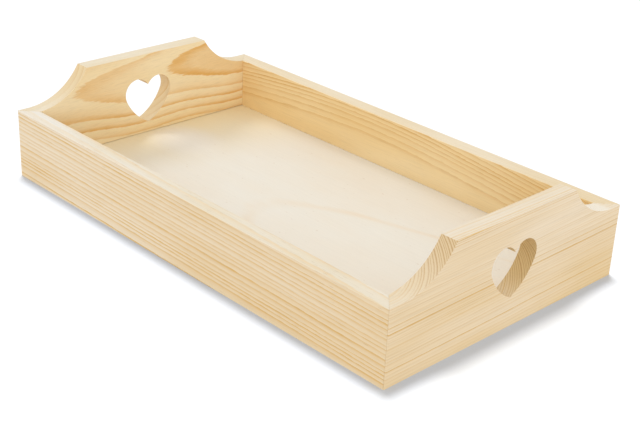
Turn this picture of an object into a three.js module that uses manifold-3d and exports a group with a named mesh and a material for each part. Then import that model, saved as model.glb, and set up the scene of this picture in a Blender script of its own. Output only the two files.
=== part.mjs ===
// Pine serving tray with heart-shaped hand holes.
// Four planed boards are mitred and glued into a frame, two V-nails pull each corner together
// from below, and a plywood base is held in a groove that runs round the inside of the frame.
// Sizes are in millimetres. X runs along the tray, Z is up, and the origin is under its middle,
// on the surface that it stands on.

import * as THREE from 'three';
import { mergeVertices } from 'three/addons/utils/BufferGeometryUtils.js';
import Module from 'manifold-3d';

const wasm = await Module();
wasm.setup();

// Overall sizes of the frame.
const tray_length = 380;
const tray_width = 220;
const board_thickness = 12.5;
const rail_height = 52;
const handle_height = 77.5;

// Shoulders of an end board: a hollow curve that runs out level with the side rails.
const shoulder_radius = 52;
const shoulder_land = 9;

// Heart-shaped hand hole, measured between its widest and its highest points.
const heart_width = 43;
const heart_height = 37;
const heart_lobe_radius = 11.5;
const heart_side_radius = 42;
const heart_tip_height = 21.2;

// Edges: how far each arris is rounded over, on the boards, at the glued corners and on the base.
const arris_radius = 0.8;
const corner_radius = 1.2;

// V-nails, driven up into the bottom edges across each mitre.
const nail_height = 7;
const nail_leg = 4.6;
const nail_sheet = 0.6;
const nail_curl_length = 1;
const nail_curl = 0.35;
const nail_first = 3.2;
const nail_spacing = 3.6;
const nail_set = 0.4;
const wood_over_nail = 0.95;

// Plywood base and the groove that holds it.
const base_thickness = 4;
const groove_depth = 5.5;

// Clearances.
const glue_gap = 0.3;
const base_face_clearance = 0.15;
const base_edge_clearance = 0.5;
const nail_clearance = 0.2;

// How finely the round stretches are drawn, and how far a cutting solid runs past what it cuts.
const arc_steps = 12;
const arris_steps = 2;
const overrun = 4;

// Heights that follow from the sizes above.
const groove_bottom = nail_set + nail_height + wood_over_nail;
const base_bottom = groove_bottom + base_face_clearance;
const groove_top = base_bottom + base_thickness + base_face_clearance;

// Colours and finishes.
const side_pine = { color: 0xe2c596, roughness: 0.62, metalness: 0 };
const end_pine = { color: 0xe8d0a4, roughness: 0.6, metalness: 0 };
const birch_ply = { color: 0xece0cb, roughness: 0.55, metalness: 0 };
const nail_steel = { color: 0x9a9c9e, roughness: 0.4, metalness: 1 };

// A closed solid from a geometry, once its corners are shared between faces.
function toSolid(geometry) {
  const bare = geometry.clone();
  bare.deleteAttribute('normal');
  bare.deleteAttribute('uv');
  const shared = mergeVertices(bare, 1e-4);
  const mesh = new wasm.Mesh({
    numProp: 3,
    vertProperties: new Float32Array(shared.attributes.position.array),
    triVerts: new Uint32Array(shared.index.array),
  });
  return new wasm.Manifold(mesh);
}

function toGeometry(solid) {
  const mesh = solid.getMesh();
  const geometry = new THREE.BufferGeometry();
  geometry.setAttribute('position', new THREE.BufferAttribute(mesh.vertProperties, 3));
  geometry.setIndex(new THREE.BufferAttribute(mesh.triVerts, 1));
  geometry.computeVertexNormals();
  return geometry;
}

// An outline drawn in plan, raised from one height to another.
function raisePlan(outline, low, high) {
  const options = { depth: high - low, bevelEnabled: false, curveSegments: arris_steps * 2 };
  const geometry = new THREE.ExtrudeGeometry(outline, options);
  return geometry.translate(0, 0, low);
}

// Turns an outline drawn as width and height so that it faces along X.
const facing_x = new THREE.Matrix4().makeBasis(
  new THREE.Vector3(0, 1, 0),
  new THREE.Vector3(0, 0, 1),
  new THREE.Vector3(1, 0, 0),
);

// Cross-section of a rail: y from the outer face inwards, z from the bottom edge up.
function railSection() {
  const t = board_thickness;
  const h = rail_height;
  const r = arris_radius;
  const section = new THREE.Shape();
  section.moveTo(r, 0);
  section.absarc(t - r, r, r, -Math.PI / 2, 0, false);
  section.lineTo(t, groove_bottom);
  section.lineTo(t - groove_depth, groove_bottom);
  section.lineTo(t - groove_depth, groove_top);
  section.lineTo(t, groove_top);
  section.absarc(t - r, h - r, r, 0, Math.PI / 2, false);
  section.absarc(r, h - r, r, Math.PI / 2, Math.PI, false);
  section.absarc(r, r, r, Math.PI, Math.PI * 1.5, false);
  return section;
}

// Heart outline, clockwise from its tip. Each half is a long side curve that runs smoothly into
// a round lobe, and the two lobes meet in the notch. The centre of the side curve comes from
// the triangle that it makes with the tip and the centre of the lobe.
function heartPath() {
  const lobe_y = heart_width / 2 - heart_lobe_radius;
  const lobe_z = heart_height - heart_lobe_radius;
  const tip_to_lobe = Math.hypot(lobe_y, lobe_z);
  const side_to_lobe = heart_side_radius - heart_lobe_radius;
  const squares = heart_side_radius ** 2 + tip_to_lobe ** 2 - side_to_lobe ** 2;
  const angle_at_tip = Math.acos(squares / (2 * heart_side_radius * tip_to_lobe));
  const lean = angle_at_tip - Math.atan2(lobe_y, lobe_z);
  const side_y = -heart_side_radius * Math.sin(lean);
  const side_z = heart_side_radius * Math.cos(lean);
  const tip_angle = Math.atan2(-side_z, -side_y);
  const join_angle = Math.atan2(lobe_z - side_z, lobe_y - side_y);
  const notch_angle = Math.acos(-lobe_y / heart_lobe_radius);
  const z0 = heart_tip_height;
  const heart = new THREE.Path();
  heart.moveTo(0, z0);
  heart.absarc(-side_y, z0 + side_z, heart_side_radius, Math.PI - tip_angle, Math.PI - join_angle, true);
  heart.absarc(-lobe_y, z0 + lobe_z, heart_lobe_radius, Math.PI - join_angle, Math.PI - notch_angle, true);
  heart.absarc(lobe_y, z0 + lobe_z, heart_lobe_radius, notch_angle, join_angle, true);
  heart.absarc(side_y, z0 + side_z, heart_side_radius, join_angle, tip_angle, true);
  return heart;
}

// Outline of an end board, running past both mitres, with its shoulders and its heart.
function endOutline() {
  const drop = handle_height - rail_height;
  const run = Math.sqrt(2 * shoulder_radius * drop - drop ** 2);
  const shoulder_end = tray_width / 2 - shoulder_land;
  const past_end = tray_width / 2 + overrun;
  const centre_z = rail_height + shoulder_radius;
  const vertex_angle = Math.atan2(handle_height - centre_z, -run);
  const level = -Math.PI / 2;
  const outline = new THREE.Shape();
  outline.moveTo(-past_end, 0);
  outline.lineTo(past_end, 0);
  outline.lineTo(past_end, rail_height);
  outline.absarc(shoulder_end, centre_z, shoulder_radius, level, vertex_angle, true);
  outline.absarc(-shoulder_end, centre_z, shoulder_radius, -Math.PI - vertex_angle, level, true);
  outline.lineTo(-past_end, rail_height);
  outline.holes.push(heartPath());
  return outline;
}

// Plan of one board between its two mitres. half is half the outside length of the board, and
// the plan runs from past its outer face to past its inner face.
function mitrePlan(half) {
  const set_back = glue_gap * Math.SQRT1_2;
  const outside = -overrun;
  const inside = board_thickness + overrun;
  const plan = new THREE.Shape();
  plan.moveTo(-(half - outside - set_back), outside);
  plan.lineTo(half - outside - set_back, outside);
  plan.lineTo(half - inside - set_back, inside);
  plan.lineTo(-(half - inside - set_back), inside);
  return plan;
}

// Plan of the whole tray, with the glued corners rounded over.
function trayPlan() {
  const x = tray_length / 2;
  const y = tray_width / 2;
  const r = corner_radius;
  const plan = new THREE.Shape();
  plan.moveTo(-x + r, -y);
  plan.absarc(x - r, -y + r, r, -Math.PI / 2, 0, false);
  plan.absarc(x - r, y - r, r, 0, Math.PI / 2, false);
  plan.absarc(-x + r, y - r, r, Math.PI / 2, Math.PI, false);
  plan.absarc(-x + r, -y + r, r, Math.PI, Math.PI * 1.5, false);
  return plan;
}

// Plan of a V-nail with its point towards the tray's corner: one leg along X, one along Y, each
// with its end curled outwards. margin grows it into the slot that it leaves in the wood.
function nailPlan(margin) {
  const s = nail_sheet / 2 + margin;
  const end = nail_leg + margin;
  const bend = nail_leg - nail_curl_length;
  const curl = nail_curl;
  const plan = new THREE.Shape();
  plan.moveTo(-s, -s);
  plan.lineTo(bend, -s);
  plan.lineTo(end, -s - curl);
  plan.lineTo(end, s - curl);
  plan.lineTo(bend, s);
  plan.lineTo(s, s);
  plan.lineTo(s, bend);
  plan.lineTo(s - curl, end);
  plan.lineTo(-s - curl, end);
  plan.lineTo(-s, bend);
  return plan;
}

// The four corners, each with the turn that brings the first corner's V-nails there.
const corners = [
  { name: 'front_left', x: -1, y: -1, turn: 0 },
  { name: 'front_right', x: 1, y: -1, turn: Math.PI / 2 },
  { name: 'back_right', x: 1, y: 1, turn: Math.PI },
  { name: 'back_left', x: -1, y: 1, turn: -Math.PI / 2 },
];

// The V-nails of one corner, from the outer one inwards.
const nail_places = [
  { name: 'outer', inset: nail_first },
  { name: 'inner', inset: nail_first + nail_spacing },
];

function nailPosition(corner, place) {
  const x = corner.x * (tray_length / 2 - place.inset);
  const y = corner.y * (tray_width / 2 - place.inset);
  return new THREE.Vector3(x, y, 0);
}

// Cuts the slots of every V-nail out of a board.
function cutNailSlots(board) {
  const top = nail_set + nail_height + nail_clearance;
  let cut = board;
  for (const corner of corners) {
    for (const place of nail_places) {
      const slot = raisePlan(nailPlan(nail_clearance), -overrun, top);
      const position = nailPosition(corner, place);
      slot.rotateZ(corner.turn);
      slot.translate(position.x, position.y, position.z);
      cut = cut.subtract(toSolid(slot));
    }
  }
  return cut;
}

// Trims a board to its mitres and to the tray's rounded corners.
function trimBoard(board, mitres) {
  const between_mitres = board.intersect(toSolid(mitres));
  const whole_tray = raisePlan(trayPlan(), -overrun, handle_height + overrun);
  return between_mitres.intersect(toSolid(whole_tray));
}

// The side board at the front: a rail with its groove, mitred at both ends.
function sideBoard() {
  const length = tray_length + overrun;
  const options = { depth: length, bevelEnabled: false, curveSegments: arris_steps };
  const rail = new THREE.ExtrudeGeometry(railSection(), options);
  rail.applyMatrix4(facing_x);
  rail.translate(-length / 2, -tray_width / 2, 0);
  const mitres = raisePlan(mitrePlan(tray_length / 2), -overrun, handle_height + overrun);
  mitres.translate(0, -tray_width / 2, 0);
  return toGeometry(cutNailSlots(trimBoard(toSolid(rail), mitres)));
}

// The end board on the right: shoulders, heart, groove and mitres.
function endBoard() {
  const options = {
    depth: board_thickness - 2 * arris_radius,
    bevelEnabled: true,
    bevelThickness: arris_radius,
    bevelSize: arris_radius,
    bevelOffset: -arris_radius,
    bevelSegments: arris_steps,
    curveSegments: arc_steps,
  };
  const board = new THREE.ExtrudeGeometry(endOutline(), options);
  board.applyMatrix4(facing_x);
  board.translate(tray_length / 2 - board_thickness + arris_radius, 0, 0);
  const groove_cut = groove_depth + overrun;
  const groove_width = groove_top - groove_bottom;
  const groove = new THREE.BoxGeometry(groove_cut, tray_width + overrun, groove_width);
  const groove_x = tray_length / 2 - board_thickness + groove_depth - groove_cut / 2;
  groove.translate(groove_x, 0, groove_bottom + groove_width / 2);
  const mitres = raisePlan(mitrePlan(tray_width / 2), -overrun, handle_height + overrun);
  mitres.translate(0, -tray_length / 2, 0);
  mitres.rotateZ(Math.PI / 2);
  const grooved = toSolid(board).subtract(toSolid(groove));
  return toGeometry(cutNailSlots(trimBoard(grooved, mitres)));
}

// The plywood base, reaching into the groove on all four sides.
function basePanel() {
  const reach = board_thickness - groove_depth + base_edge_clearance;
  const length = tray_length - 2 * reach;
  const width = tray_width - 2 * reach;
  const panel = new THREE.BoxGeometry(length, width, base_thickness);
  return panel.translate(0, 0, base_bottom + base_thickness / 2);
}

function vNail() {
  return raisePlan(nailPlan(0), nail_set, nail_set + nail_height);
}

function addPiece(parent, name, geometry, finish) {
  const mesh = new THREE.Mesh(geometry, new THREE.MeshStandardMaterial(finish));
  mesh.name = name;
  parent.add(mesh);
  return mesh;
}

const tray = new THREE.Group();

// The side boards and the end boards are two pairs, the second of each turned half round.
const side_geometry = sideBoard();
const end_geometry = endBoard();
addPiece(tray, 'front_side_board', side_geometry, side_pine);
addPiece(tray, 'back_side_board', side_geometry, side_pine).rotation.z = Math.PI;
addPiece(tray, 'right_end_board', end_geometry, end_pine);
addPiece(tray, 'left_end_board', end_geometry, end_pine).rotation.z = Math.PI;

addPiece(tray, 'base_panel', basePanel(), birch_ply);

for (const corner of corners) {
  for (const place of nail_places) {
    const name = `v_nail_${corner.name}_${place.name}`;
    const nail = addPiece(tray, name, vNail(), nail_steel);
    nail.position.copy(nailPosition(corner, place));
    nail.rotation.z = corner.turn;
  }
}

export default tray;
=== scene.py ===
import math

import bmesh
import bpy
from mathutils import Matrix, Vector


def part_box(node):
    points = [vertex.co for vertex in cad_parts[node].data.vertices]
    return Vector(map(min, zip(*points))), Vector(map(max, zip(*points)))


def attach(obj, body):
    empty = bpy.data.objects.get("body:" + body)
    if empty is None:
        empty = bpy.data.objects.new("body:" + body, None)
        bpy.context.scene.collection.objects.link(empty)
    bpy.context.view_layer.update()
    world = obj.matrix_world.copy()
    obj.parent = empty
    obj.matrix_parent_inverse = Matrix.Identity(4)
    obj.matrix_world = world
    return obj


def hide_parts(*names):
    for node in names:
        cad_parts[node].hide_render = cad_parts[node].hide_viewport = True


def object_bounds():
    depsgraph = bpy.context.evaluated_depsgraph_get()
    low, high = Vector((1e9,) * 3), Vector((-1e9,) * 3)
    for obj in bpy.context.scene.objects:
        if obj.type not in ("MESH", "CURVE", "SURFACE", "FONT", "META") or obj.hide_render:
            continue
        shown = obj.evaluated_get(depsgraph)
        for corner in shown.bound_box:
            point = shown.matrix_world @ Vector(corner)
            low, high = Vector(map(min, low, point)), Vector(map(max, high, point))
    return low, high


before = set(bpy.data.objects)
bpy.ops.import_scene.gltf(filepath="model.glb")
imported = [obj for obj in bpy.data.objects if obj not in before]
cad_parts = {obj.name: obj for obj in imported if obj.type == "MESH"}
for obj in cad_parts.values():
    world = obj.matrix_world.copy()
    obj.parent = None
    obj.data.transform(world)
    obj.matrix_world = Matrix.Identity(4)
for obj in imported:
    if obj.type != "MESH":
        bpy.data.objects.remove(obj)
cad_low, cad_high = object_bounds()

bl_info = {
    "name": "Pine serving tray",
    "version": (1, 0, 0),
    "blender": (4, 5, 0),
    "location": "3D View > Sidebar > Tray",
    "description": "Boards, base, nails and studio of a pine tray with heart-shaped hand holes",
    "category": "Add Mesh",
}


def mm(millimetres):
    """Blender works in metres, the joiner in millimetres."""
    return millimetres / 1000


def hex_colour(text):
    """A colour written as an sRGB hex value, in the linear numbers that Blender stores."""
    channels = [int(text[i:i + 2], 16) / 255 for i in (0, 2, 4)]
    linear = [c / 12.92 if c <= 0.04045 else ((c + 0.055) / 1.055) ** 2.4 for c in channels]
    return (*linear, 1.0)


# Sizes and colours that a user would change

def length(name, description, default, precision=4):
    """A size that a user can change."""
    return bpy.props.FloatProperty(
        name=name, description=description, default=default, unit="LENGTH", precision=precision)


def swatch(name, description, colour):
    """A colour that a user can change."""
    return bpy.props.FloatVectorProperty(
        name=name, description=description, default=hex_colour(colour)[:3], subtype="COLOR",
        min=0, max=1)


class TraySizes(bpy.types.PropertyGroup):
    tray_length: length(
        "Tray length", "Over the outer faces of the end boards", cad_high[0] - cad_low[0])
    tray_width: length(
        "Tray width", "Over the outer faces of the side boards", cad_high[1] - cad_low[1])
    handle_height: length("Handle height", "Top of the end boards above the table", cad_high[2])
    rail_height: length("Rail height", "Top of the side boards above the table", mm(52))
    board_thickness: length("Board thickness", "Planed thickness of the four boards", mm(12.5))
    shoulder_radius: length("Shoulder radius", "Radius of the hollow beside each handle", mm(52))
    shoulder_land: length("Shoulder land", "Level stretch between a hollow and the corner", mm(9))
    heart_width: length("Heart width", "Widest part of the hand hole", mm(43))
    heart_height: length(
        "Heart height", "From the tip of the hand hole to the top of its lobes", mm(37))
    heart_tip: length("Heart tip", "Tip of the hand hole above the table", mm(21.2))
    lobe_radius: length("Lobe radius", "Radius of the heart's two lobes", mm(11.5))
    heart_side_radius: length(
        "Heart side radius", "Radius of the long curves that run to the tip", mm(42))
    groove_low: length("Groove bottom", "Lower edge of the groove above the table", mm(8.45), 5)
    groove_high: length(
        "Groove top", "Upper edge of the side boards' groove above the table", mm(12.6), 5)
    end_groove_high: length(
        "End groove top", "Upper edge of the end boards' groove above the table", mm(12.9), 5)
    groove_depth: length("Groove depth", "How far the groove goes into each board", mm(5.5))
    arris: length("Arris", "How far the sanded edges are rounded over", mm(0.8), 5)
    lower_arris: length("Lower arris", "How far the bottom edges are rounded over", mm(0.35), 5)
    corner: length("Corner", "How far the four glued corners are rounded over", mm(1.2), 5)
    glue_line: length("Glue line", "Width of the joint line in each mitre", mm(0.06), 5)


class TrayColours(bpy.types.PropertyGroup):
    pale_early: swatch("Pale pine", "Spring wood of the front board", "E9D8BE")
    pale_late: swatch("Pale pine lines", "Summer wood of the front board", "D7AB53")
    straw_early: swatch("Straw pine", "Spring wood of the right end board", "EAD9BF")
    straw_late: swatch("Straw pine lines", "Summer wood of the right end board", "D0A44C")
    golden_early: swatch("Golden pine", "Spring wood of the left end board", "FBE9C2")
    golden_late: swatch("Golden pine lines", "Summer wood of the left end board", "E4A943")
    honey_early: swatch("Honey pine", "Spring wood of the back board", "FBE3B3")
    honey_late: swatch("Honey pine lines", "Summer wood of the back board", "D6A13F")
    # Painted top light: the colours towards which the faces that look up are painted
    painted_top_light_early: swatch("Fresh pine", "Spring wood of the freshly sanded upper edges", "E8E2D6")
    painted_top_light_late: swatch(
        "Fresh pine lines", "Summer wood of the freshly sanded upper edges", "E8C480")
    cut_early: swatch("Cut ends", "Spring wood where it is cut across the grain", "D8BF93")
    cut_late: swatch("Cut end lines", "Summer wood where it is cut across the grain", "AC7D40")
    veneer: swatch("Veneer", "Face of the plywood base", "E8E3D7")
    veneer_figure: swatch("Veneer figure", "Faint figure in the face of the base", "E6CFAE")
    nail_steel: swatch("Nail steel", "Strip steel of the V-nails", "A9ACAE")
    paper: swatch("Floor", "Pale paper that the tray stands on", "D1D4D8")


# How finely round stretches are drawn, and how far a cutting shape runs past what it cuts
ARC_STEPS = 28
ARRIS_STEPS = 3
CORNER_STEPS = 6
OVERRUN = mm(4)
# How sharply two faces meet, in degrees, where the arris is rounded and where it shades crisp
ROUNDED_PAST = 40
CRISP_PAST = 32
# How far the base's sawn edges are eased, and how much larger than its nail a slot is all round
SHEET_ARRIS = mm(0.3)
NAIL_CLEARANCE = mm(0.06)
NAIL_NODES = [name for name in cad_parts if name.startswith("v_nail_")]


# Modelling by hand

def deselect_all():
    bpy.ops.object.select_all(action="DESELECT")


def pick(*pieces):
    """Selects these pieces only, the last of them active."""
    deselect_all()
    for piece in pieces:
        piece.select_set(True)
        bpy.context.view_layer.objects.active = piece


def edit(piece):
    pick(piece)
    bpy.ops.object.mode_set(mode="EDIT")
    bpy.ops.mesh.select_all(action="SELECT")


def leave_edit():
    bpy.ops.object.mode_set(mode="OBJECT")


def select_where(piece, kind, test):
    """In edit mode, selects the faces, edges or vertices that pass a test."""
    bpy.ops.mesh.select_mode(type={"faces": "FACE", "edges": "EDGE", "verts": "VERT"}[kind])
    bpy.ops.mesh.select_all(action="DESELECT")
    shape = bmesh.from_edit_mesh(piece.data)
    for element in getattr(shape, kind):
        if test(element):
            element.select_set(True)
    shape.select_flush_mode()
    bmesh.update_edit_mesh(piece.data)


def start_box(name, low, high):
    """A block between two corners, as sawn before it is shaped."""
    deselect_all()
    size = high - low
    bpy.ops.mesh.primitive_cube_add(size=1, location=(low + high) / 2, scale=size)
    block = bpy.context.object
    block.name = name
    bpy.ops.object.transform_apply(location=True, rotation=True, scale=True)
    return block


def start_outline(name, point):
    """A single point, in edit mode, from which an outline is drawn."""
    deselect_all()
    bpy.ops.mesh.primitive_plane_add(size=mm(1), location=point)
    bpy.context.object.name = name
    bpy.ops.object.transform_apply(location=True, rotation=True, scale=True)
    bpy.ops.object.mode_set(mode="EDIT")
    bpy.ops.mesh.select_mode(type="VERT")
    bpy.ops.mesh.select_all(action="SELECT")
    bpy.ops.mesh.merge(type="CENTER")
    return bpy.context.object


def draw_line(step):
    """Draws on from the last point of an outline, by a step."""
    bpy.ops.mesh.extrude_vertices_move(TRANSFORM_OT_translate={"value": step})


def draw_arc(centre, angle, steps):
    """Draws on from the last point of an outline, round a centre, in a plane that faces X."""
    bpy.ops.mesh.spin(steps=steps, angle=-angle, center=centre, axis=(1, 0, 0))


def close_outline(thickness):
    """Joins an outline's ends, fills it, and raises it along X to a thickness."""
    bpy.ops.mesh.select_all(action="SELECT")
    bpy.ops.mesh.remove_doubles(threshold=mm(0.02))
    bpy.ops.mesh.edge_face_add()
    bpy.ops.mesh.extrude_region_move(TRANSFORM_OT_translate={"value": (thickness, 0, 0)})
    bpy.ops.mesh.select_all(action="SELECT")
    bpy.ops.mesh.normals_make_consistent(inside=False)
    leave_edit()


def cut_with(piece, cutter, operation="DIFFERENCE"):
    """Takes one shape out of another, or keeps what they share."""
    pick(piece)
    boolean = piece.modifiers.new("cut", "BOOLEAN")
    boolean.operation = operation
    boolean.solver = "EXACT"
    boolean.object = cutter
    bpy.ops.object.modifier_apply(modifier=boolean.name)


def remove(piece):
    bpy.data.objects.remove(piece, do_unlink=True)


def saw(piece, point, outwards):
    """Saws a piece along a plane, drops what lies outwards of it and closes the cut."""
    edit(piece)
    bpy.ops.mesh.bisect(
        plane_co=point, plane_no=outwards, use_fill=True, clear_outer=True, threshold=mm(0.0005))
    leave_edit()


def sand(piece):
    """Smooth over the rounded arrises, crisp between the planed faces."""
    pick(piece)
    bpy.ops.object.shade_smooth_by_angle(angle=math.radians(CRISP_PAST))
    weighted = piece.modifiers.new("planed faces", "WEIGHTED_NORMAL")
    weighted.keep_sharp = True
    bpy.ops.object.modifier_apply(modifier=weighted.name)


def turned_copy(piece, name):
    """The second board of a pair: the first one turned half round the middle of the tray."""
    pick(piece)
    bpy.ops.object.duplicate(linked=False)
    copy = bpy.context.object
    copy.name = name
    copy.rotation_euler.z = math.pi
    bpy.ops.object.transform_apply(location=True, rotation=True, scale=True)
    return copy


def finish_piece(piece, material, node_name):
    """Gives a piece its finish and its place in the frame."""
    if not piece.data.polygons:
        raise RuntimeError(piece.name + " lost its faces while it was being shaped")
    piece.data.materials.clear()
    piece.data.materials.append(material)
    piece.data.name = piece.name
    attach(piece, "root")
    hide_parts(node_name)


# Shapes that the boards share

def mitre_both_ends(piece, sizes, end_board):
    """Saws a board at 45 degrees at both ends, half a glue line short of the corner."""
    x = sizes.tray_length / 2
    y = sizes.tray_width / 2
    for side in (-1, 1):
        if end_board:
            corner = Vector((x, side * y, 0))
            outwards = Vector((-1, side, 0)).normalized()
        else:
            corner = Vector((side * x, -y, 0))
            outwards = Vector((side, 1, 0)).normalized()
        saw(piece, corner - outwards * sizes.glue_line / 2, outwards)


def round_outer_corners(piece, sizes):
    """Keeps only what lies inside the plan of the whole tray, whose corners are rounded."""
    x = sizes.tray_length / 2
    y = sizes.tray_width / 2
    top = sizes.handle_height + OVERRUN
    plan = start_box("tray plan", Vector((-x, -y, -OVERRUN)), Vector((x, y, top)))
    edit(plan)
    select_where(plan, "edges", lambda e: abs(e.verts[0].co.z - e.verts[1].co.z) > OVERRUN)
    bpy.ops.mesh.bevel(offset=sizes.corner, segments=CORNER_STEPS, affect="EDGES")
    leave_edit()
    cut_with(piece, plan, "INTERSECT")
    remove(plan)


def cut_nail_slots(piece):
    """Presses the V-nails into a board: each nail's own shape, a touch larger, open below."""
    pick(*(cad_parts[name] for name in NAIL_NODES))
    bpy.ops.object.duplicate(linked=False)
    bpy.ops.object.join()
    slots = bpy.context.object
    slots.name = "nail slots"
    edit(slots)
    bpy.ops.mesh.remove_doubles(threshold=mm(0.01))
    bpy.ops.mesh.normals_make_consistent(inside=False)
    bpy.ops.transform.shrink_fatten(value=NAIL_CLEARANCE)
    nail_foot = mm(1)  # lies between a nail's lower edge and its upper one
    select_where(slots, "verts", lambda v: v.co.z < nail_foot)
    bpy.ops.transform.translate(value=(0, 0, -OVERRUN))
    leave_edit()
    cut_with(piece, slots)
    remove(slots)


# Boards

def make_side_board(sizes):
    """The front rail: planed, arrises sanded, grooved for the base and mitred."""
    half = sizes.tray_length / 2 + OVERRUN
    outer = -sizes.tray_width / 2
    inner = outer + sizes.board_thickness
    low = Vector((-half, outer, 0))
    high = Vector((half, inner, sizes.rail_height))
    board = start_box("front_side", low, high)
    edit(board)
    for top, size in ((True, sizes.arris), (False, sizes.lower_arris)):
        select_where(board, "edges", lambda e: (
            abs(e.verts[0].co.x - e.verts[1].co.x) > half
            and (e.verts[0].co.z > sizes.arris) == top))
        bpy.ops.mesh.bevel(offset=size, segments=ARRIS_STEPS, affect="EDGES")
    for height in (sizes.groove_low, sizes.groove_high):
        bpy.ops.mesh.select_all(action="SELECT")
        bpy.ops.mesh.bisect(plane_co=(0, 0, height), plane_no=(0, 0, 1))
    middle = (sizes.groove_low + sizes.groove_high) / 2
    reach = (sizes.groove_high - sizes.groove_low) / 2
    select_where(board, "faces", lambda f: (
        f.normal.y > 0.99 and abs(f.calc_center_median().z - middle) < reach))
    bpy.ops.mesh.extrude_region_move(
        TRANSFORM_OT_translate={"value": (0, -sizes.groove_depth, 0)})
    leave_edit()
    mitre_both_ends(board, sizes, end_board=False)
    round_outer_corners(board, sizes)
    cut_nail_slots(board)
    sand(board)
    return board


def heart_cutter(sizes):
    """A plug of the hand hole's shape: two long curves, each running into a round lobe."""
    lobe_y = sizes.heart_width / 2 - sizes.lobe_radius
    lobe_z = sizes.heart_height - sizes.lobe_radius
    tip_to_lobe = math.hypot(lobe_y, lobe_z)
    side_to_lobe = sizes.heart_side_radius - sizes.lobe_radius
    squares = sizes.heart_side_radius ** 2 + tip_to_lobe ** 2 - side_to_lobe ** 2
    angle_at_tip = math.acos(squares / (2 * sizes.heart_side_radius * tip_to_lobe))
    lean = angle_at_tip - math.atan2(lobe_y, lobe_z)
    side_y = -sizes.heart_side_radius * math.sin(lean)
    side_z = sizes.heart_side_radius * math.cos(lean)
    join = math.atan2(lobe_z - side_z, lobe_y - side_y)
    tip = math.atan2(-side_z, -side_y)
    notch = math.acos(-lobe_y / sizes.lobe_radius)
    x = sizes.tray_length / 2 - sizes.board_thickness - OVERRUN
    z = sizes.heart_tip
    plug = start_outline("heart plug", (x, 0, z))
    draw_arc((x, side_y, z + side_z), join - tip, ARC_STEPS)
    draw_arc((x, lobe_y, z + lobe_z), notch - join, ARC_STEPS)
    draw_arc((x, -lobe_y, z + lobe_z), notch - join, ARC_STEPS)
    draw_arc((x, -side_y, z + side_z), join - tip, ARC_STEPS)
    close_outline(sizes.board_thickness + 2 * OVERRUN)
    return plug


def make_end_board(sizes):
    """The right end board: shoulders, heart, sanded arrises, groove and mitres."""
    drop = sizes.handle_height - sizes.rail_height
    run = math.sqrt(2 * sizes.shoulder_radius * drop - drop ** 2)
    shoulder_end = sizes.tray_width / 2 - sizes.shoulder_land
    past_end = sizes.tray_width / 2 + OVERRUN
    centre_z = sizes.rail_height + sizes.shoulder_radius
    sweep = math.asin(run / sizes.shoulder_radius)
    inner_x = sizes.tray_length / 2 - sizes.board_thickness
    half_top = shoulder_end - run
    board = start_outline("right_end", (inner_x, -past_end, 0))
    draw_line((0, 2 * past_end, 0))
    draw_line((0, 0, sizes.rail_height))
    draw_line((0, shoulder_end - past_end, 0))
    draw_arc((inner_x, shoulder_end, centre_z), -sweep, ARC_STEPS)
    draw_line((0, -2 * half_top, 0))
    draw_arc((inner_x, -shoulder_end, centre_z), -sweep, ARC_STEPS)
    draw_line((0, shoulder_end - past_end, 0))
    draw_line((0, 0, -sizes.rail_height))
    close_outline(sizes.board_thickness)
    heart = heart_cutter(sizes)
    cut_with(board, heart)
    remove(heart)
    edit(board)
    bpy.ops.mesh.select_all(action="DESELECT")
    bpy.ops.mesh.edges_select_sharp(sharpness=math.radians(ROUNDED_PAST))
    bpy.ops.transform.edge_bevelweight(value=1)
    lower_part = sizes.lower_arris / sizes.arris
    select_where(board, "edges", lambda e: max(v.co.z for v in e.verts) < sizes.arris)
    bpy.ops.transform.edge_bevelweight(value=lower_part - 1)
    leave_edit()
    bevel = board.modifiers.new("arrises", "BEVEL")
    bevel.limit_method = "WEIGHT"
    bevel.width = sizes.arris
    bevel.segments = ARRIS_STEPS
    bpy.ops.object.modifier_apply(modifier=bevel.name)
    low = Vector((inner_x - OVERRUN, -past_end - OVERRUN, sizes.groove_low))
    high = Vector((inner_x + sizes.groove_depth, past_end + OVERRUN, sizes.end_groove_high))
    groove = start_box("groove", low, high)
    cut_with(board, groove)
    remove(groove)
    mitre_both_ends(board, sizes, end_board=True)
    round_outer_corners(board, sizes)
    cut_nail_slots(board)
    sand(board)
    return board


def make_base():
    """The plywood sheet, where the frame has it: three plies, the sawn edges eased so that they
    slide into the groove."""
    low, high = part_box("base_panel")
    sheet = start_box("base_sheet", low, high)
    edit(sheet)
    bpy.ops.mesh.bevel(offset=SHEET_ARRIS, segments=2, affect="EDGES")
    for share in (1 / 3, 2 / 3):
        height = low.z + (high.z - low.z) * share
        bpy.ops.mesh.select_all(action="SELECT")
        bpy.ops.mesh.bisect(plane_co=(0, 0, height), plane_no=(0, 0, 1))
    leave_edit()
    sand(sheet)
    return sheet


# Finishes

def node(tree, kind, inputs=(), output=0, stops=(), **settings):
    """Adds a shader node with its settings, the grey stops of a ramp, and its inputs: numbers or
    other nodes' outputs, by name or in the order of the inputs in use. Gives back one output, by
    name or by its place among the outputs in use."""
    made = tree.nodes.new("ShaderNode" + kind)
    for name, value in settings.items():
        setattr(made, name, value)
    for index, (place, shade) in enumerate(stops):
        elements = made.color_ramp.elements
        element = elements[index] if index < len(elements) else elements.new(place)
        element.position = place
        element.color = (shade, shade, shade, 1)
    in_use = [socket for socket in made.inputs if socket.enabled]
    for key, value in (inputs.items() if isinstance(inputs, dict) else enumerate(inputs)):
        socket = in_use[key] if isinstance(key, int) else made.inputs[key]
        if isinstance(value, bpy.types.NodeSocket):
            tree.links.new(value, socket)
        else:
            socket.default_value = value
    if isinstance(output, str):
        return made.outputs[output]
    return [socket for socket in made.outputs if socket.enabled][output]


def new_material(name):
    material = bpy.data.materials.new(name)
    material.use_nodes = True
    tree = material.node_tree
    return material, tree, tree.nodes["Principled BSDF"]
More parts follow.
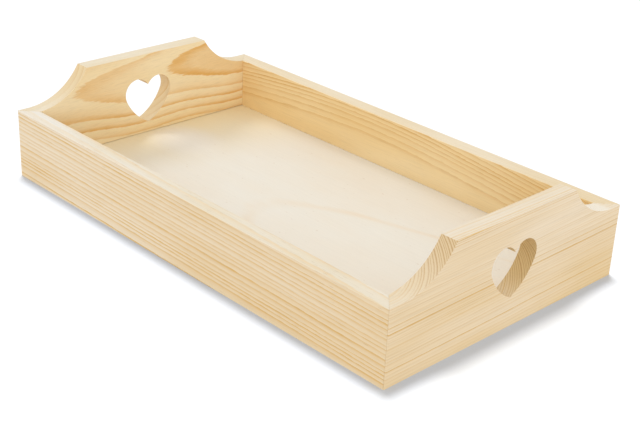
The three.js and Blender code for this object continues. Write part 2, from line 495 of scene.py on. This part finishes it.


# How each board was sawn from its log, in millimetres and degrees. grain is the way that the
# fibres run. pith is where the middle of the log lies, across the board and up, beside the
# tray's middle; along the board it rises and drifts, and it weaves up and down by a height, over
# a length, with a crest at one place. ring is one year's growth, summer the share of it that is
# dark, and first the radius at which the years begin to show, at full strength after fade years.
# plain is how many years before the first show no line; still earlier ones show again. marks
# lists years, counted from the first, that are darker or fainter than the rest, and core is how
# dark the first year's wood is all over, with all that lies inside it. wander and feather say
# how uneven the rings are, over a hand's breadth and over a few fibres, and uneven how much good
# and bad years differ. strength is how dark the faintest and the strongest years are. cut is how
# far the ends look cut across, how dark their lines are, how much painted shade darkens the wall
# of the heart, and how much painted highlight whitens the shoulder at the back. After cut comes
# the painted top light: how much paler the faces that look up are painted, how dark the lines
# stay there and how bright those faces are painted in the end. warm is how golden the board
# grows towards its foot, and how much more at its very foot, and resin is how dark its canals
# of resin are.
LOGS = {
    "front_side": dict(
        grain="X", pith=(-161, -95), rise=-0.8, drift=0, weave=(0, 400, 0), ring=3.05,
        summer=0.75, first=0, fade=1, plain=99, marks=((50, 0.45), (49, 0.9), (48, 0.95)),
        core=0, uneven=0.3, wander=0.35, feather=0.3, seed=3, strength=(0.45, 1.1), tone="pale",
        cut=(0.85, 0.7, 0, 0), painted_top_light=(1.0, 0.8, 1.0), warm=(0, 0.1), resin=0.4),
    "back_side": dict(
        grain="X", pith=(147.5, 8), rise=0, drift=0, weave=(12, 656, -35), ring=1.7,
        summer=0.95, first=50.4, fade=1.5, plain=2.5, marks=(), core=0, uneven=0.12, wander=0.2,
        feather=0.2, seed=11, strength=(0.45, 0.75), tone="honey", cut=(0.85, 0.6, 0, 0),
        painted_top_light=(0.6, 0.4, 0.94), warm=(0, 0), resin=0.15),
    "right_end": dict(
        grain="Y", pith=(105, -45), rise=0.7, drift=0, weave=(0, 400, 0), ring=1.3,
        summer=0.75, first=0, fade=1, plain=99,
        marks=((92, 1.05), (90, 1.05), (78, 1.05), (114, 1.05), (113, 0.75), (112, 0.75)),
        core=0, uneven=0.3, wander=0.3, feather=0.1, seed=5, strength=(0.15, 0.5), tone="straw",
        cut=(0.85, 0.75, 1.0, 0.8), painted_top_light=(0.6, 1.0, 1.0), warm=(0.26, 0.25), resin=0.1),
    "left_end": dict(
        grain="Y", pith=(-217.3, 58.8), rise=2.1, drift=3.5, weave=(1.25, 97, 28), ring=5.14,
        summer=0.8, first=33.9, fade=0.01, plain=99, marks=((0, 0.85), (1, 0.57), (2, 0.8)),
        core=0.34, uneven=0.03, wander=0.25, feather=0.3, seed=8, strength=(0.55, 0.85),
        tone="golden", cut=(0.6, 0.12, 0, 0), painted_top_light=(0.5, 0.2, 0.9), warm=(0, 0), resin=0.1),
}

# Where the hand hole lies, in millimetres: the height of its middle, and how far its wall reaches
HEART_MIDDLE = 40
HEART_REACH = 26

# Between which heights a board grows golden, in millimetres above the table: over nearly its
# whole height, and at its very foot
GOLDEN_HEIGHTS = ((65, 5), (9, 2))

# Tints of the bare wood: its golden parts, its resin, the painted shade on the wall of the heart,
# and the painted highlight on the shoulder at the back
GOLDEN_TINT = hex_colour("F2DEAA")
RESIN = hex_colour("A5824F")
PAINTED_HEART_SHADE = hex_colour("EDE6C9")
PAINTED_SHOULDER_HIGHLIGHT = hex_colour("EAE2D2")

# The sizes of the wood's patterns in millimetres: along the grain, across it and up
WANDER_SIZE = (95, 26, 26)
FEATHER_SIZE = (9, 0.9, 0.9)
PATCH_SIZE = (70, 9, 9)
TINT_SIZE = (160, 34, 34)
# Single fibres are a tenth as wide as this, too fine to show
THREAD_SIZE = (34, 0.6, 0.6)
RESIN_SIZE = (9, 0.5, 0.5)
# Noise seldom strays more than a quarter from its middle, so four times that fills a reach
NOISE_TO_REACH = 4
# Good and bad years come in runs of about this many
YEARS_ALIKE = 2.6


def place_in_log(tree, log):
    """Where a point of the board lay in the tree, in millimetres: along the stem, and the two
    ways out from the pith. The second result is the same with a shift, so that no two boards
    share a pattern."""
    along_y = log["grain"] == "Y"
    across, up = log["pith"]
    rise = math.radians(log["rise"])
    drift = math.radians(log["drift"])
    turn = (-rise, 0, drift - math.pi / 2) if along_y else (0, rise, -drift)
    sawn = node(tree, "Mapping", {
        "Vector": node(tree, "TexCoord", output="Object"),
        "Scale": (1000, 1000, 1000), "Rotation": turn})
    pith = (0, -across if along_y else across, up)
    from_pith = node(tree, "VectorMath", (sawn, pith), operation="SUBTRACT")
    shift = (log["seed"] * 37.0, log["seed"] * 13.0, 0)
    return from_pith, node(tree, "VectorMath", (from_pith, shift), operation="ADD")


def year_lines(tree, log, from_pith, seeded):
    """The lines of the years, from 0 in spring wood to 1 in the darkest summer wood, and the
    season, which goes from 0 to 1 in each year."""
    # The stem was never quite straight, so the rings wander, slowly along the grain
    slow = node(tree, "VectorMath", (seeded, WANDER_SIZE), operation="DIVIDE")
    wander = node(tree, "TexNoise", {
        "Vector": slow, "Scale": 1.0, "Detail": 2.0, "Roughness": 0.45}, output="Color")
    wander = node(tree, "VectorMath", (wander, (0.5, 0.5, 0.5)), operation="SUBTRACT")
    reach = NOISE_TO_REACH * log["wander"]
    moved = node(tree, "VectorMath", (
        wander, (0, reach, reach), from_pith), operation="MULTIPLY_ADD")
    along = node(tree, "SeparateXYZ", (moved,), output="X")
    weave_height, weave_length, crest = log["weave"]
    weave = node(tree, "Math", (along, crest), operation="SUBTRACT")
    weave = node(tree, "Math", (weave, math.tau / weave_length), operation="MULTIPLY")
    weave = node(tree, "Math", (weave,), operation="COSINE")
    height = node(tree, "SeparateXYZ", (moved,), output="Z")
    height = node(tree, "Math", (weave, -weave_height, height), operation="MULTIPLY_ADD")
    sideways = node(tree, "SeparateXYZ", (moved,), output="Y")
    outwards = node(tree, "CombineXYZ", {"Y": sideways, "Z": height})
    radius = node(tree, "VectorMath", (outwards,), operation="LENGTH")

    # Fibres blur the edge of each line into short feathers along the grain
    fine = node(tree, "VectorMath", (seeded, FEATHER_SIZE), operation="DIVIDE")
    feather = node(tree, "TexNoise", {
        "Vector": fine, "Scale": 1.0, "Detail": 3.0, "Roughness": 0.6})
    feather = node(tree, "Math", (feather, 0.5), operation="SUBTRACT")
    reach = NOISE_TO_REACH * log["feather"]
    radius = node(tree, "Math", (feather, reach, radius), operation="MULTIPLY_ADD")

    # Good years and bad years
    stretch = node(tree, "Math", (radius, YEARS_ALIKE * log["ring"]), operation="DIVIDE")
    growth = node(tree, "TexNoise", {
        "W": stretch, "Scale": 1.0, "Detail": 1.0}, noise_dimensions="1D")
    growth = node(tree, "Math", (growth, 0.5), operation="SUBTRACT")
    reach = NOISE_TO_REACH * log["uneven"] * log["ring"]
    grown = node(tree, "Math", (growth, reach, radius), operation="MULTIPLY_ADD")
    grown = node(tree, "Math", (grown, log["first"]), operation="SUBTRACT")
    years = node(tree, "Math", (grown, log["ring"]), operation="DIVIDE")
    season = node(tree, "Math", (years,), operation="FRACT")

    # Each year's wood darkens slowly through the summer and ends at once in the next spring
    dusk = 1 - log["summer"]
    late = node(tree, "ValToRGB", (season,), stops=(
        (0.0, 0.0), (dusk, 0.04), (0.5 + dusk / 2, 0.33), (0.87, 0.95), (0.95, 1.0), (1.0, 0.0)))
    year = node(tree, "Math", (years,), operation="FLOOR")
    own_number = node(tree, "Math", (year, log["seed"] + 0.5), operation="ADD")
    vigour = node(tree, "TexWhiteNoise", (own_number,), noise_dimensions="1D")
    weakest, strongest = log["strength"]
    strength = node(tree, "Math", (vigour, strongest - weakest, weakest), operation="MULTIPLY_ADD")
    for number, mark in log["marks"]:
        marked = node(tree, "Math", (year, number, 0.5), operation="COMPARE")
        strength = node(tree, "Mix", (marked, strength, mark), data_type="FLOAT")
    shows = node(tree, "MapRange", {"Value": years, "From Min": 0.0, "From Max": log["fade"]})
    before = node(tree, "MapRange", {
        "Value": years, "From Min": -log["plain"], "From Max": -log["plain"] - log["fade"]})
    shows = node(tree, "Math", (shows, before), operation="MAXIMUM")
    strength = node(tree, "Math", (strength, shows), operation="MULTIPLY")

    # Here and there along the board the lines are fainter
    patches = node(tree, "VectorMath", (seeded, PATCH_SIZE), operation="DIVIDE")
    patch = node(tree, "TexNoise", {"Vector": patches, "Scale": 1.0, "Detail": 2.0})
    patch = node(tree, "ValToRGB", (patch,), stops=((0.35, 0.7), (0.65, 1.0)))
    strength = node(tree, "Math", (strength, patch), operation="MULTIPLY")
    line = node(tree, "Math", (late, strength), operation="MULTIPLY")
    core = node(tree, "MapRange", {
        "Value": years, "From Min": 1.0, "From Max": 0.6, "To Max": log["core"]})
    return node(tree, "Math", (line, core), operation="MAXIMUM"), season


def planed_pine(name, log, colours):
    """Planed and sanded Scots pine, left bare: a matt cream wood with golden lines, one for each
    year, which run along the board, show as arcs on the cut ends and are a little harder and
    smoother than the pale wood between them."""
    material, tree, surface = new_material(name)
    from_pith, seeded = place_in_log(tree, log)
    line, season = year_lines(tree, log, from_pith, seeded)
    early_wood = (*getattr(colours, log["tone"] + "_early"), 1)
    late_wood = (*getattr(colours, log["tone"] + "_late"), 1)

    # Painted top light: the faces that look up are painted paler, with fainter lines
    facing = node(tree, "TexCoord", output="Normal")
    upward = node(tree, "SeparateXYZ", (facing,), output="Z")
    painted_top_light_share, painted_top_light_lines, painted_top_light_tone = log["painted_top_light"]
    painted_top_light = node(tree, "ValToRGB", (upward,), stops=((0.5, 0.0), (1.0, painted_top_light_share)))
    kept = node(tree, "ValToRGB", (upward,), stops=((0.5, 1.0), (0.9, painted_top_light_lines)))
    line = node(tree, "Math", (line, kept), operation="MULTIPLY")
    early_wood = node(tree, "Mix", (
        painted_top_light, early_wood, (*colours.painted_top_light_early, 1)), data_type="RGBA")
    late_wood = node(tree, "Mix", (painted_top_light, late_wood, (*colours.painted_top_light_late, 1)), data_type="RGBA")
    wood = node(tree, "Mix", (line, early_wood, late_wood), data_type="RGBA")

    # Fine fibres and a slow change of tint along the board
    threads = node(tree, "VectorMath", (seeded, THREAD_SIZE), operation="DIVIDE")
    thread = node(tree, "TexNoise", {
        "Vector": threads, "Scale": 1.0, "Detail": 3.0, "Roughness": 0.65})
    shade = node(tree, "ValToRGB", (thread,), stops=((0.3, 0.9), (0.5, 0.98), (0.7, 1.0)))
    wood = node(tree, "Mix", (1.0, wood, shade), data_type="RGBA", blend_type="MULTIPLY")
    broad = node(tree, "VectorMath", (seeded, TINT_SIZE), operation="DIVIDE")
    tint = node(tree, "TexNoise", {"Vector": broad, "Scale": 1.0, "Detail": 2.0})
    tint = node(tree, "ValToRGB", (tint,), stops=((0.35, 0.0), (0.65, 0.4)))
    place = node(tree, "TexCoord", output="Object")
    height = node(tree, "SeparateXYZ", (place,), output="Z")
    for (above, below), share in zip(GOLDEN_HEIGHTS, log["warm"]):
        warm = node(tree, "MapRange", {
            "Value": height, "From Min": mm(above), "From Max": mm(below), "To Max": share})
        tint = node(tree, "Math", (tint, warm), operation="ADD")
    wood = node(tree, "Mix", (tint, wood, GOLDEN_TINT), data_type="RGBA", blend_type="MULTIPLY")
    # Painted shade on the upward faces: each board's own brightness for its painted top light
    shade = node(tree, "ValToRGB", (upward,), stops=((0.5, 1.0), (1.0, painted_top_light_tone)))
    wood = node(tree, "Mix", (1.0, wood, shade), data_type="RGBA", blend_type="MULTIPLY")

    # Resin canals show as short dark dashes
    dashes = node(tree, "VectorMath", (seeded, RESIN_SIZE), operation="DIVIDE")
    dash = node(tree, "TexNoise", {"Vector": dashes, "Scale": 1.0, "Detail": 1.0})
    dash = node(tree, "ValToRGB", (dash,), stops=((0.66, 0.0), (0.76, log["resin"])))
    wood = node(tree, "Mix", (dash, wood, RESIN), data_type="RGBA")

    # Ends cut across the grain drink more light: the lines are browner and the pale wood is tan.
    # The rounding of a glued corner isn't a cut end
    cut_share, cut_lines, painted_heart_shade, shoulder_highlight = log["cut"]
    along_y = log["grain"] == "Y"
    ends = node(tree, "SeparateXYZ", (facing,), output="Y" if along_y else "X")
    ends = node(tree, "Math", (ends,), operation="ABSOLUTE")
    sides = node(tree, "SeparateXYZ", (facing,), output="X" if along_y else "Y")
    sides = node(tree, "Math", (sides,), operation="ABSOLUTE")
    cut_across = node(tree, "Math", (ends, sides), operation="SUBTRACT")
    end_share = node(tree, "ValToRGB", (cut_across,), stops=((0.1, 0.0), (0.75, cut_share)))
    sharp = node(tree, "ValToRGB", (season,), stops=(
        (0.0, 0.0), (0.5, 0.0), (0.84, 1.0), (0.94, 1.0), (1.0, 0.0)))
    cut_line = node(tree, "Math", (sharp, cut_lines), operation="MULTIPLY")
    cut_wood = node(tree, "Mix", (
        cut_line, (*colours.cut_early, 1), (*colours.cut_late, 1)), data_type="RGBA")

    # Painted shade: the wall of the heart is painted browner, where little light reaches into the
    # hole
    from_heart = node(tree, "VectorMath", (place, (0, 0, mm(HEART_MIDDLE))), operation="SUBTRACT")
    from_heart = node(tree, "VectorMath", (from_heart, (0, 1, 1)), operation="MULTIPLY")
    from_heart = node(tree, "VectorMath", (from_heart,), operation="LENGTH")
    in_heart = node(tree, "MapRange", {
        "Value": from_heart, "From Min": mm(HEART_REACH + 1), "From Max": mm(HEART_REACH)})
    painted_heart_shade_mask = node(tree, "Math", (in_heart, painted_heart_shade), operation="MULTIPLY")
    cut_wood = node(tree, "Mix", (
        painted_heart_shade_mask, cut_wood, PAINTED_HEART_SHADE), data_type="RGBA", blend_type="MULTIPLY")
    wood = node(tree, "Mix", (end_share, wood, cut_wood), data_type="RGBA")

    # Painted highlight: what faces up and to the back, where light falls on the shoulder, is
    # painted nearly white, but not inside the heart
    white = node(tree, "MapRange", {"Value": in_heart, "To Min": shoulder_highlight, "To Max": 0.0})
    for direction in ("Z", "Y"):
        white = node(tree, "MapRange", {
            "Value": node(tree, "SeparateXYZ", (facing,), output=direction),
            "From Min": 0.0, "From Max": 0.1, "To Max": white})
    wood = node(tree, "Mix", (white, wood, PAINTED_SHOULDER_HIGHLIGHT), data_type="RGBA")

    tree.links.new(wood, surface.inputs["Base Color"])
    rough = node(tree, "MapRange", {"Value": line, "To Min": 0.66, "To Max": 0.52})
    tree.links.new(rough, surface.inputs["Roughness"])
    surface.inputs["IOR"].default_value = 1.5
    surface.inputs["Specular IOR Level"].default_value = 0.35
    relief = node(tree, "Math", (line, 0.5, thread), operation="MULTIPLY_ADD")
    bump = node(tree, "Bump", {"Height": relief, "Strength": 0.12, "Distance": mm(0.15)})
    tree.links.new(bump, surface.inputs["Normal"])
    return material


# The one arch of figure in the face of the base, in millimetres: where its tip lies, how fast it
# spreads, how wide its band is and how far its edge strays; where the face turns golden towards
# the left end, a painted warm shade where that end board shades the base, sooner at the back by a
# share of the way across; the painted pool of light in that, where light falls through the far
# heart: its place, its size, how far out it is at its palest, how pale it is there and how much of
# the painted shade is left in it; and the sizes of the veneer's patterns, along the grain, across
# it and up
ARCH_TIP = (-18, -22, 0)
ARCH_SPREAD = 32
ARCH_WIDTH = 24
ARCH_STRAY = 30
PAINTED_SHADE_FROM = -87
PAINTED_SHADE_TO = -202
PAINTED_SHADE_SLANT = -0.18
PAINTED_LIGHT_POOL = (-144, 12, 0)
PAINTED_LIGHT_POOL_SIZE = (48, 36, 30)
PAINTED_LIGHT_POOL_CORE = 0.3
PAINTED_LIGHT_POOL_SHARE = 0.6
PAINTED_LIGHT_POOL_SHADE = 0.2
MOTTLE_SIZE = (90, 40, 20)
FLECK_SIZE = (3.5, 1.2, 3)
VENEER_FIBRE_SIZE = (30, 0.8, 1)

# Tints of the veneer: the painted warm shade at its left end, the painted pool of light and its
# flecks
PAINTED_WARM_SHADE = hex_colour("F2E2BA")
PAINTED_LIGHT = hex_colour("F6F1E8")
FLECK = hex_colour("B08A5C")


def sanded_plywood(colours):
    """Sanded birch plywood, left bare: a very pale, quiet veneer peeled from a turning log, so
    its figure is wide, soft and faint, with a few small flecks."""
    material, tree, surface = new_material("sanded birch plywood")
    sheet = node(tree, "Mapping", {
        "Vector": node(tree, "TexCoord", output="Object"), "Scale": (1000, 1000, 1000)})
    from_tip = node(tree, "VectorMath", (sheet, ARCH_TIP), operation="SUBTRACT")
    mottle_place = node(tree, "VectorMath", (sheet, MOTTLE_SIZE), operation="DIVIDE")
    mottle = node(tree, "TexNoise", {"Vector": mottle_place, "Scale": 1.0, "Detail": 3.0})
    sideways = node(tree, "SeparateXYZ", (from_tip,), output="Y")
    spread = node(tree, "Math", (sideways, 2.0), operation="POWER")
    spread = node(tree, "Math", (spread, ARCH_SPREAD), operation="DIVIDE")
    along = node(tree, "SeparateXYZ", (from_tip,), output="X")
    depth = node(tree, "Math", (along, spread), operation="SUBTRACT")
    depth = node(tree, "Math", (mottle, ARCH_STRAY, depth), operation="MULTIPLY_ADD")
    depth = node(tree, "Math", (depth, ARCH_WIDTH), operation="DIVIDE")
    arch = node(tree, "ValToRGB", (depth,), stops=((0.0, 0.0), (0.4, 0.8), (0.6, 0.8), (1.0, 0.0)))
    fading = node(tree, "ValToRGB", (mottle,), stops=((0.35, 0.1), (0.6, 0.5)))
    arch = node(tree, "Math", (arch, fading), operation="MULTIPLY")
    # Only the upper veneer has this figure, the painted shade and the painted light, the one
    # underneath is plain
    facing = node(tree, "TexCoord", output="Normal")
    upper = node(tree, "MapRange", {
        "Value": node(tree, "SeparateXYZ", (facing,), output="Z"),
        "From Min": 0.0, "From Max": 0.5})
    arch = node(tree, "Math", (arch, upper), operation="MULTIPLY")
    figure = (*colours.veneer_figure, 1)
    veneer = node(tree, "Mix", (arch, (*colours.veneer, 1), figure), data_type="RGBA")
    cloud = node(tree, "ValToRGB", (mottle,), stops=((0.3, 0.0), (0.75, 0.25)))
    veneer = node(tree, "Mix", (cloud, veneer, figure), data_type="RGBA")
    # Painted warm shade: golden towards the left end, where that board shades the base and the
    # light off the wood is warm
    slanted = node(tree, "VectorMath", (
        sheet, (1, PAINTED_SHADE_SLANT, 0)), output="Value", operation="DOT_PRODUCT")
    golden = node(tree, "MapRange", {
        "Value": slanted, "From Min": PAINTED_SHADE_FROM, "From Max": PAINTED_SHADE_TO},
        interpolation_type="SMOOTHSTEP")
    # Painted light: a pale pool where light falls through the far heart, with less of the painted
    # shade in it
    from_light_pool = node(tree, "VectorMath", (sheet, PAINTED_LIGHT_POOL), operation="SUBTRACT")
    from_light_pool = node(tree, "VectorMath", (from_light_pool, PAINTED_LIGHT_POOL_SIZE), operation="DIVIDE")
    from_light_pool = node(tree, "VectorMath", (from_light_pool,), operation="LENGTH")
    beyond = node(tree, "MapRange", {
        "Value": from_light_pool, "From Min": PAINTED_LIGHT_POOL_CORE, "From Max": 1.0,
        "To Min": PAINTED_LIGHT_POOL_SHADE, "To Max": 1.0}, interpolation_type="SMOOTHSTEP")
    golden = node(tree, "Math", (golden, beyond), operation="MULTIPLY")
    golden = node(tree, "Math", (golden, upper), operation="MULTIPLY")
    veneer = node(tree, "Mix", (golden, veneer, PAINTED_WARM_SHADE), data_type="RGBA")
    # The pool of painted light is painted paler than the veneer round it
    pale = node(tree, "MapRange", {
        "Value": beyond, "From Min": PAINTED_LIGHT_POOL_SHADE, "From Max": 1.0,
        "To Min": PAINTED_LIGHT_POOL_SHARE, "To Max": 0.0})
    pale = node(tree, "Math", (pale, upper), operation="MULTIPLY")
    veneer = node(tree, "Mix", (pale, veneer, PAINTED_LIGHT), data_type="RGBA")

    fibre_place = node(tree, "VectorMath", (sheet, VENEER_FIBRE_SIZE), operation="DIVIDE")
    fibre = node(tree, "TexNoise", {
        "Vector": fibre_place, "Scale": 1.0, "Detail": 3.0, "Roughness": 0.6})
    shade = node(tree, "ValToRGB", (fibre,), stops=((0.3, 0.97), (0.65, 1.0)))
    veneer = node(tree, "Mix", (1.0, veneer, shade), data_type="RGBA", blend_type="MULTIPLY")
    fleck_place = node(tree, "VectorMath", (sheet, FLECK_SIZE), operation="DIVIDE")
    fleck = node(tree, "TexNoise", {"Vector": fleck_place, "Scale": 1.0, "Detail": 0.0})
    fleck = node(tree, "ValToRGB", (fleck,), stops=((0.8, 0.0), (0.87, 0.3)))
    veneer = node(tree, "Mix", (fleck, veneer, FLECK), data_type="RGBA")

    tree.links.new(veneer, surface.inputs["Base Color"])
    surface.inputs["Roughness"].default_value = 0.6
    surface.inputs["IOR"].default_value = 1.5
    surface.inputs["Specular IOR Level"].default_value = 0.35
    bump = node(tree, "Bump", {"Height": fibre, "Strength": 0.08, "Distance": mm(0.1)})
    tree.links.new(bump, surface.inputs["Normal"])
    return material


# The nails' rolling lines in millimetres: along the strip, through it and across it
ROLLING_SIZE = (2.5, 2.5, 0.11)


def strip_steel(colours):
    """Bright strip steel, rolled and sheared: grey, half shiny, with fine lines along the strip."""
    material, tree, surface = new_material("rolled strip steel")
    strip = node(tree, "Mapping", {
        "Vector": node(tree, "TexCoord", output="Object"), "Scale": (1000, 1000, 1000)})
    strip = node(tree, "VectorMath", (strip, ROLLING_SIZE), operation="DIVIDE")
    streak = node(tree, "TexNoise", {"Vector": strip, "Scale": 1.0})
    dull = node(tree, "MapRange", {"Value": streak, "To Min": 0.3, "To Max": 0.5})
    tree.links.new(dull, surface.inputs["Roughness"])
    surface.inputs["Base Color"].default_value = (*colours.nail_steel, 1)
    surface.inputs["Metallic"].default_value = 1.0
    return material


# Operators

def finish_boards(context, boards):
    """Gives each board the pine of its own log. Its CAD node has its name, and "_board" after."""
    for board in boards:
        wood = planed_pine(
            "planed pine, " + board.name, LOGS[board.name], context.scene.tray_colours)
        finish_piece(board, wood, board.name + "_board")


class TRAY_OT_side_boards(bpy.types.Operator):
    """Make the two side boards"""
    bl_idname = "tray.side_boards"
    bl_label = "Side boards"

    def execute(self, context):
        front = make_side_board(context.scene.tray_sizes)
        back = turned_copy(front, "back_side")
        finish_boards(context, (front, back))
        return {"FINISHED"}


class TRAY_OT_end_boards(bpy.types.Operator):
    """Make the two end boards with their hand holes"""
    bl_idname = "tray.end_boards"
    bl_label = "End boards"

    def execute(self, context):
        right = make_end_board(context.scene.tray_sizes)
        left = turned_copy(right, "left_end")
        finish_boards(context, (right, left))
        return {"FINISHED"}


class TRAY_OT_base(bpy.types.Operator):
    """Make the plywood base"""
    bl_idname = "tray.base"
    bl_label = "Base"

    def execute(self, context):
        sheet = make_base()
        plywood = sanded_plywood(context.scene.tray_colours)
        finish_piece(sheet, plywood, "base_panel")
        return {"FINISHED"}


class TRAY_OT_nails(bpy.types.Operator):
    """Finish the V-nails in steel"""
    bl_idname = "tray.nails"
    bl_label = "V-nails"

    def execute(self, context):
        steel = strip_steel(context.scene.tray_colours)
        for name in NAIL_NODES:
            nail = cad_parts[name]
            nail.data.materials.clear()
            nail.data.materials.append(steel)
        return {"FINISHED"}


class TRAY_OT_studio(bpy.types.Operator):
    """Set up the floor, the lights, the white surroundings and the camera"""
    bl_idname = "tray.studio"
    bl_label = "Studio"

    def execute(self, context):
        floor = make_floor(context.scene.tray_colours)
        make_surroundings(context.scene)
        make_lights(floor)
        make_camera(context.scene)
        return {"FINISHED"}


# Studio

# The floor's size in metres, how far it lies under the boards and how much light it returns, and
# how much light comes from all round
FLOOR_SIZE = 12.0
FLOOR_DROP = mm(0.05)
FLOOR_GLOW = 1.05
SURROUNDING_LIGHT = 0.92

# The bluer paper round the tray's foot. In millimetres: how far out from the boards it ends and
# how far out it is bluest, and how far past a corner it ends and how far short of one it is bluest
BLUER_PAPER = hex_colour("CCD4E1")
BLUER_OUT = (14, 2.5)
BLUER_PAST_CORNER = (3, -15)

# The camera, as fitted to the corners of the tray in the photo: its place in metres, the ways to
# its right and ahead of it, and its lens in millimetres
CAMERA_PLACE = Vector((0.5972, -0.5694, 0.4014))
CAMERA_RIGHT = Vector((0.68752, 0.72488, 0.04315))
CAMERA_FORWARD = Vector((-0.64175, 0.63433, -0.43104))
CAMERA_LENS = 72.23

# Each lamp: where it comes from, as compass angle from +X and height in degrees, its strength,
# how wide it looks from the tray, in degrees, and whether it is masked to the floor alone
LIGHTS = {
    "window": (172, 48, 0.65, 20, False),
    "fill": (-45, 16, 0.38, 45, False),
    "ground": (147, 79.6, 2.45, 10, True),
}


def seen_directly(tree):
    """1 for what the camera sees, also in a mirror or through glass, and 0 for other light."""
    seen = node(tree, "Math", (
        node(tree, "LightPath", output="Is Camera Ray"),
        node(tree, "LightPath", output="Is Glossy Ray")), operation="MAXIMUM")
    return node(tree, "Math", (
        seen, node(tree, "LightPath", output="Is Transmission Ray")), operation="MAXIMUM")


def make_floor(colours):
    """A sheet of pale paper, wide enough to fill every view. The light it returns to the tray is
    even, so that the tray's shadow doesn't darken the boards' feet."""
    deselect_all()
    bpy.ops.mesh.primitive_plane_add(size=FLOOR_SIZE, location=(0, 0, -FLOOR_DROP))
    floor = bpy.context.object
    floor.name = "paper_floor"
    bpy.ops.object.transform_apply(location=True, rotation=True, scale=True)
    material, tree, surface = new_material("white paper")
    # The wood warms the light at its foot, but not off the corners, and bluer paper there keeps
    # the shadow grey
    place = node(tree, "TexCoord", output="Object")
    place = node(tree, "VectorMath", (place,), operation="ABSOLUTE")
    beyond = node(tree, "VectorMath", (place, tuple(cad_high)), operation="SUBTRACT")
    beyond_end = node(tree, "SeparateXYZ", (beyond,), output="X")
    beyond_side = node(tree, "SeparateXYZ", (beyond,), output="Y")
    out = node(tree, "Math", (beyond_end, beyond_side), operation="MAXIMUM")
    past_corner = node(tree, "Math", (beyond_end, beyond_side), operation="MINIMUM")
    ends, bluest = BLUER_PAST_CORNER
    along_board = node(tree, "MapRange", {
        "Value": past_corner, "From Min": mm(ends), "From Max": mm(bluest)})
    ends, bluest = BLUER_OUT
    at_foot = node(tree, "MapRange", {
        "Value": out, "From Min": mm(ends), "From Max": mm(bluest), "To Max": along_board})
    colour = node(tree, "Mix", (at_foot, (*colours.paper, 1), BLUER_PAPER), data_type="RGBA")
    tree.links.new(colour, surface.inputs["Base Color"])
    surface.inputs["Roughness"].default_value = 0.9
    surface.inputs["Specular IOR Level"].default_value = 0.0
    glow = node(tree, "Emission", {"Color": (1, 1, 1, 1), "Strength": FLOOR_GLOW})
    paper = node(tree, "MixShader", (seen_directly(tree), glow, surface.outputs["BSDF"]))
    tree.links.new(paper, tree.nodes["Material Output"].inputs["Surface"])
    material.cycles.emission_sampling = "NONE"
    floor.data.materials.append(material)
    return floor


def make_surroundings(scene):
    """White all round: a soft light on the tray, and plain white where the camera looks past."""
    world = bpy.data.worlds.new("white studio")
    scene.world = world
    world.use_nodes = True
    tree = world.node_tree
    strength = node(tree, "MapRange", {
        "Value": seen_directly(tree), "To Min": SURROUNDING_LIGHT, "To Max": 1.0})
    background = tree.nodes["Background"]
    background.inputs["Color"].default_value = (1, 1, 1, 1)
    tree.links.new(strength, background.inputs["Strength"])


def make_lights(floor):
    """Lamps for the tray, and one for the floor alone, which gives the tray its soft shadow."""
    for name, (compass, height, strength, width, floor_only) in LIGHTS.items():
        deselect_all()
        bpy.ops.object.light_add(type="SUN")
        lamp = bpy.context.object
        lamp.name = name
        lamp.data.energy = strength
        lamp.data.angle = math.radians(width)
        lamp.rotation_euler = (0, math.radians(90 - height), math.radians(compass))
        lit = bpy.data.collections.new("lit by " + name)
        lit.objects.link(floor)
        lit.collection_objects[0].light_linking.link_state = "INCLUDE" if floor_only else "EXCLUDE"
        lamp.light_linking.receiver_collection = lit


def make_camera(scene):
    """A camera at the photo's angle, distance and lens."""
    deselect_all()
    bpy.ops.object.camera_add(location=CAMERA_PLACE)
    camera = bpy.context.object
    back = -CAMERA_FORWARD.normalized()
    right = CAMERA_RIGHT.normalized()
    up = back.cross(right)
    camera.rotation_euler = Matrix((right, up, back)).transposed().to_euler()
    camera.data.lens = CAMERA_LENS
    camera.data.sensor_width = 36
    camera.data.sensor_fit = "HORIZONTAL"
    camera.data.clip_start = mm(10)
    camera.data.clip_end = 50
    scene.camera = camera
    scene.view_settings.view_transform = "Standard"


# Panel and registering

OPERATORS = (
    TRAY_OT_side_boards,
    TRAY_OT_end_boards,
    TRAY_OT_base,
    TRAY_OT_nails,
    TRAY_OT_studio,
)


class TRAY_PT_panel(bpy.types.Panel):
    """Sizes, colours and steps of the tray"""
    bl_label = "Pine tray"
    bl_idname = "TRAY_PT_panel"
    bl_space_type = "VIEW_3D"
    bl_region_type = "UI"
    bl_category = "Tray"

    def draw(self, context):
        for group in (context.scene.tray_sizes, context.scene.tray_colours):
            column = self.layout.column()
            for name in group.__annotations__:
                column.prop(group, name)
        for operator in OPERATORS:
            self.layout.operator(operator.bl_idname)


CLASSES = (TraySizes, TrayColours, *OPERATORS, TRAY_PT_panel)


def register():
    for cls in CLASSES:
        bpy.utils.register_class(cls)
    bpy.types.Scene.tray_sizes = bpy.props.PointerProperty(type=TraySizes)
    bpy.types.Scene.tray_colours = bpy.props.PointerProperty(type=TrayColours)


def unregister():
    del bpy.types.Scene.tray_colours
    del bpy.types.Scene.tray_sizes
    for cls in reversed(CLASSES):
        bpy.utils.unregister_class(cls)


def main():
    register()
    bpy.ops.tray.side_boards()
    bpy.ops.tray.end_boards()
    bpy.ops.tray.base()
    bpy.ops.tray.nails()
    bpy.ops.tray.studio()


if __name__ == "__main__":
    main()
